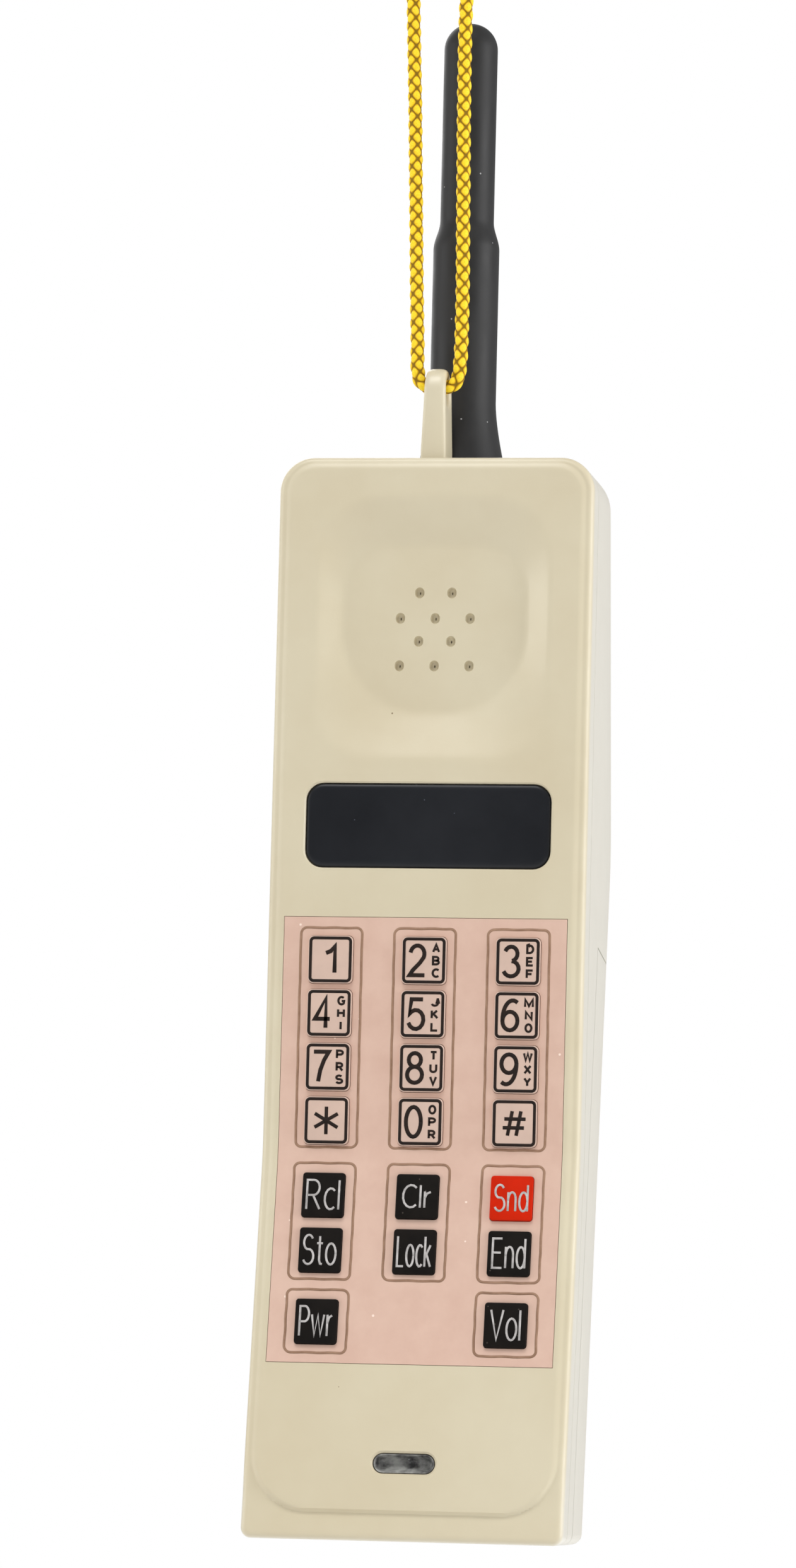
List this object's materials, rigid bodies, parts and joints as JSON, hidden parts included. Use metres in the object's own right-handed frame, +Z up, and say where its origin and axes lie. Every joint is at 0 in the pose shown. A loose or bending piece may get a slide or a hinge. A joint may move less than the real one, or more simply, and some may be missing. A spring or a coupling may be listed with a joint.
{
  "type": "mobile brick phone",
  "caption": "Bent hand-held brick phone with an ear dish, dark display window, printed keypad, slide-off battery pack, screw-on antenna and a braided hanging cord.",
  "frame": {"origin": "the point where the loop of the hanging cord is held, under the top of the loop", "axes": "+Z up along the phone, -Y out of its face, +X to the right of someone looking at the face"},
  "size_m": [0.0606, 0.0528, 0.321],
  "materials": {
    "case_beige": "painted satin plastic",
    "case_side": "painted satin plastic",
    "keypad_pink": "printed film",
    "key_clear": "satin, dark printed outline",
    "key_black": "satin",
    "key_red": "satin",
    "window": "dark gloss",
    "black_plastic": "satin",
    "antenna_rubber": "satin black rubber",
    "grey_rubber": "matt grey rubber",
    "board_green": "solder resist",
    "board_blue": "solder resist",
    "ribbon": "clear amber film",
    "steel": "brushed",
    "gold_metal": "plated",
    "copper_wire": "enamelled wire",
    "cell_wrap": "shrink wrap",
    "foam": "closed-cell foam",
    "cord_gold": "round braid"
  },
  "bodies": {
    "handset": {"front_cover": "case_beige", "rear_cover": "case_side", "hanging_eye": "case_beige", "display_window": "window", "display_frame": "black_plastic", "display_module": "black_plastic", "display_ribbon": "ribbon", "keypad_panel": "keypad_pink", "keypad_membrane": "grey_rubber", "upper_key_board": "board_green", "lower_key_board": "board_green", "key_board_ribbon": "ribbon", "earpiece_speaker": "steel", "earpiece_gasket": "foam", "microphone": "steel", "microphone_boot": "grey_rubber", "main_board": "board_green", "main_board_chips": "black_plastic", "radio_board": "board_blue", "radio_shield": "steel", "board_pillars": "gold_metal", "board_screws": "steel", "ringer": "black_plastic", "antenna_socket": "gold_metal", "battery_contacts": "gold_metal", "latch_spring": "steel", "case_screws": "steel", "charging_contacts": "gold_metal", "antenna_lead": "gold_metal", "speaker_contacts": "gold_metal", "hanging_cord": "cord_gold", "cord_knot": "cord_gold"},
    "antenna": {"antenna_sheath": "antenna_rubber", "antenna_coil": "copper_wire", "antenna_stud": "gold_metal"},
    "battery_pack": {"battery_case": "case_side", "battery_lid": "case_side", "battery_cells": "cell_wrap", "battery_terminals": "gold_metal"},
    "latch": {"battery_latch": "case_side"},
    "key_1": {"key_1": "key_clear"},
    "key_2": {"key_2": "key_clear"},
    "key_3": {"key_3": "key_clear"},
    "key_4": {"key_4": "key_clear"},
    "key_5": {"key_5": "key_clear"},
    "key_6": {"key_6": "key_clear"},
    "key_7": {"key_7": "key_clear"},
    "key_8": {"key_8": "key_clear"},
    "key_9": {"key_9": "key_clear"},
    "key_star": {"key_star": "key_clear"},
    "key_0": {"key_0": "key_clear"},
    "key_hash": {"key_hash": "key_clear"},
    "key_rcl": {"key_rcl": "key_black"},
    "key_clr": {"key_clr": "key_black"},
    "key_snd": {"key_snd": "key_red"},
    "key_sto": {"key_sto": "key_black"},
    "key_lock": {"key_lock": "key_black"},
    "key_end": {"key_end": "key_black"},
    "key_pwr": {"key_pwr": "key_black"},
    "key_vol": {"key_vol": "key_black"}
  },
  "joints": [
    {"name": "antenna_screw", "type": "hinge", "parent": "handset", "child": "antenna", "pos_m": [0.0042, 0.0135, -0.102], "axis": [0, 0, 1], "continuous": true},
    {"name": "battery_slide", "type": "slide", "parent": "handset", "child": "battery_pack", "axis": [0, -0.1607, -0.987], "range_m": [0, 0.115]},
    {"name": "latch_slide", "type": "slide", "parent": "handset", "child": "latch", "axis": [0, 0.1607, 0.987], "range_m": [0, 0.003], "stiffness_N_per_m": 400, "deforming": ["latch_spring"]},
    {"name": "key_1_press", "type": "slide", "parent": "handset", "child": "key_1", "axis": [0, 1, 0], "range_m": [0, 0.001], "stiffness_N_per_m": 300},
    {"name": "key_2_press", "type": "slide", "parent": "handset", "child": "key_2", "axis": [0, 1, 0], "range_m": [0, 0.001], "stiffness_N_per_m": 300},
    {"name": "key_3_press", "type": "slide", "parent": "handset", "child": "key_3", "axis": [0, 1, 0], "range_m": [0, 0.001], "stiffness_N_per_m": 300},
    {"name": "key_4_press", "type": "slide", "parent": "handset", "child": "key_4", "axis": [0, 1, 0], "range_m": [0, 0.001], "stiffness_N_per_m": 300},
    {"name": "key_5_press", "type": "slide", "parent": "handset", "child": "key_5", "axis": [0, 1, 0], "range_m": [0, 0.001], "stiffness_N_per_m": 300},
    {"name": "key_6_press", "type": "slide", "parent": "handset", "child": "key_6", "axis": [0, 1, 0], "range_m": [0, 0.001], "stiffness_N_per_m": 300},
    {"name": "key_7_press", "type": "slide", "parent": "handset", "child": "key_7", "axis": [0, 1, 0], "range_m": [0, 0.001], "stiffness_N_per_m": 300},
    {"name": "key_8_press", "type": "slide", "parent": "handset", "child": "key_8", "axis": [0, 1, 0], "range_m": [0, 0.001], "stiffness_N_per_m": 300},
    {"name": "key_9_press", "type": "slide", "parent": "handset", "child": "key_9", "axis": [0, 1, 0], "range_m": [0, 0.001], "stiffness_N_per_m": 300},
    {"name": "key_star_press", "type": "slide", "parent": "handset", "child": "key_star", "axis": [0, 1, 0], "range_m": [0, 0.001], "stiffness_N_per_m": 300},
    {"name": "key_0_press", "type": "slide", "parent": "handset", "child": "key_0", "axis": [0, 1, 0], "range_m": [0, 0.001], "stiffness_N_per_m": 300},
    {"name": "key_hash_press", "type": "slide", "parent": "handset", "child": "key_hash", "axis": [0, 1, 0], "range_m": [0, 0.001], "stiffness_N_per_m": 300},
    {"name": "key_rcl_press", "type": "slide", "parent": "handset", "child": "key_rcl", "axis": [0, 0.9848, -0.1736], "range_m": [0, 0.001], "stiffness_N_per_m": 300},
    {"name": "key_clr_press", "type": "slide", "parent": "handset", "child": "key_clr", "axis": [0, 0.9848, -0.1736], "range_m": [0, 0.001], "stiffness_N_per_m": 300},
    {"name": "key_snd_press", "type": "slide", "parent": "handset", "child": "key_snd", "axis": [0, 0.9848, -0.1736], "range_m": [0, 0.001], "stiffness_N_per_m": 300},
    {"name": "key_sto_press", "type": "slide", "parent": "handset", "child": "key_sto", "axis": [0, 0.9848, -0.1736], "range_m": [0, 0.001], "stiffness_N_per_m": 300},
    {"name": "key_lock_press", "type": "slide", "parent": "handset", "child": "key_lock", "axis": [0, 0.9848, -0.1736], "range_m": [0, 0.001], "stiffness_N_per_m": 300},
    {"name": "key_end_press", "type": "slide", "parent": "handset", "child": "key_end", "axis": [0, 0.9848, -0.1736], "range_m": [0, 0.001], "stiffness_N_per_m": 300},
    {"name": "key_pwr_press", "type": "slide", "parent": "handset", "child": "key_pwr", "axis": [0, 0.9848, -0.1736], "range_m": [0, 0.001], "stiffness_N_per_m": 300},
    {"name": "key_vol_press", "type": "slide", "parent": "handset", "child": "key_vol", "axis": [0, 0.9848, -0.1736], "range_m": [0, 0.001], "stiffness_N_per_m": 300}
  ]
}
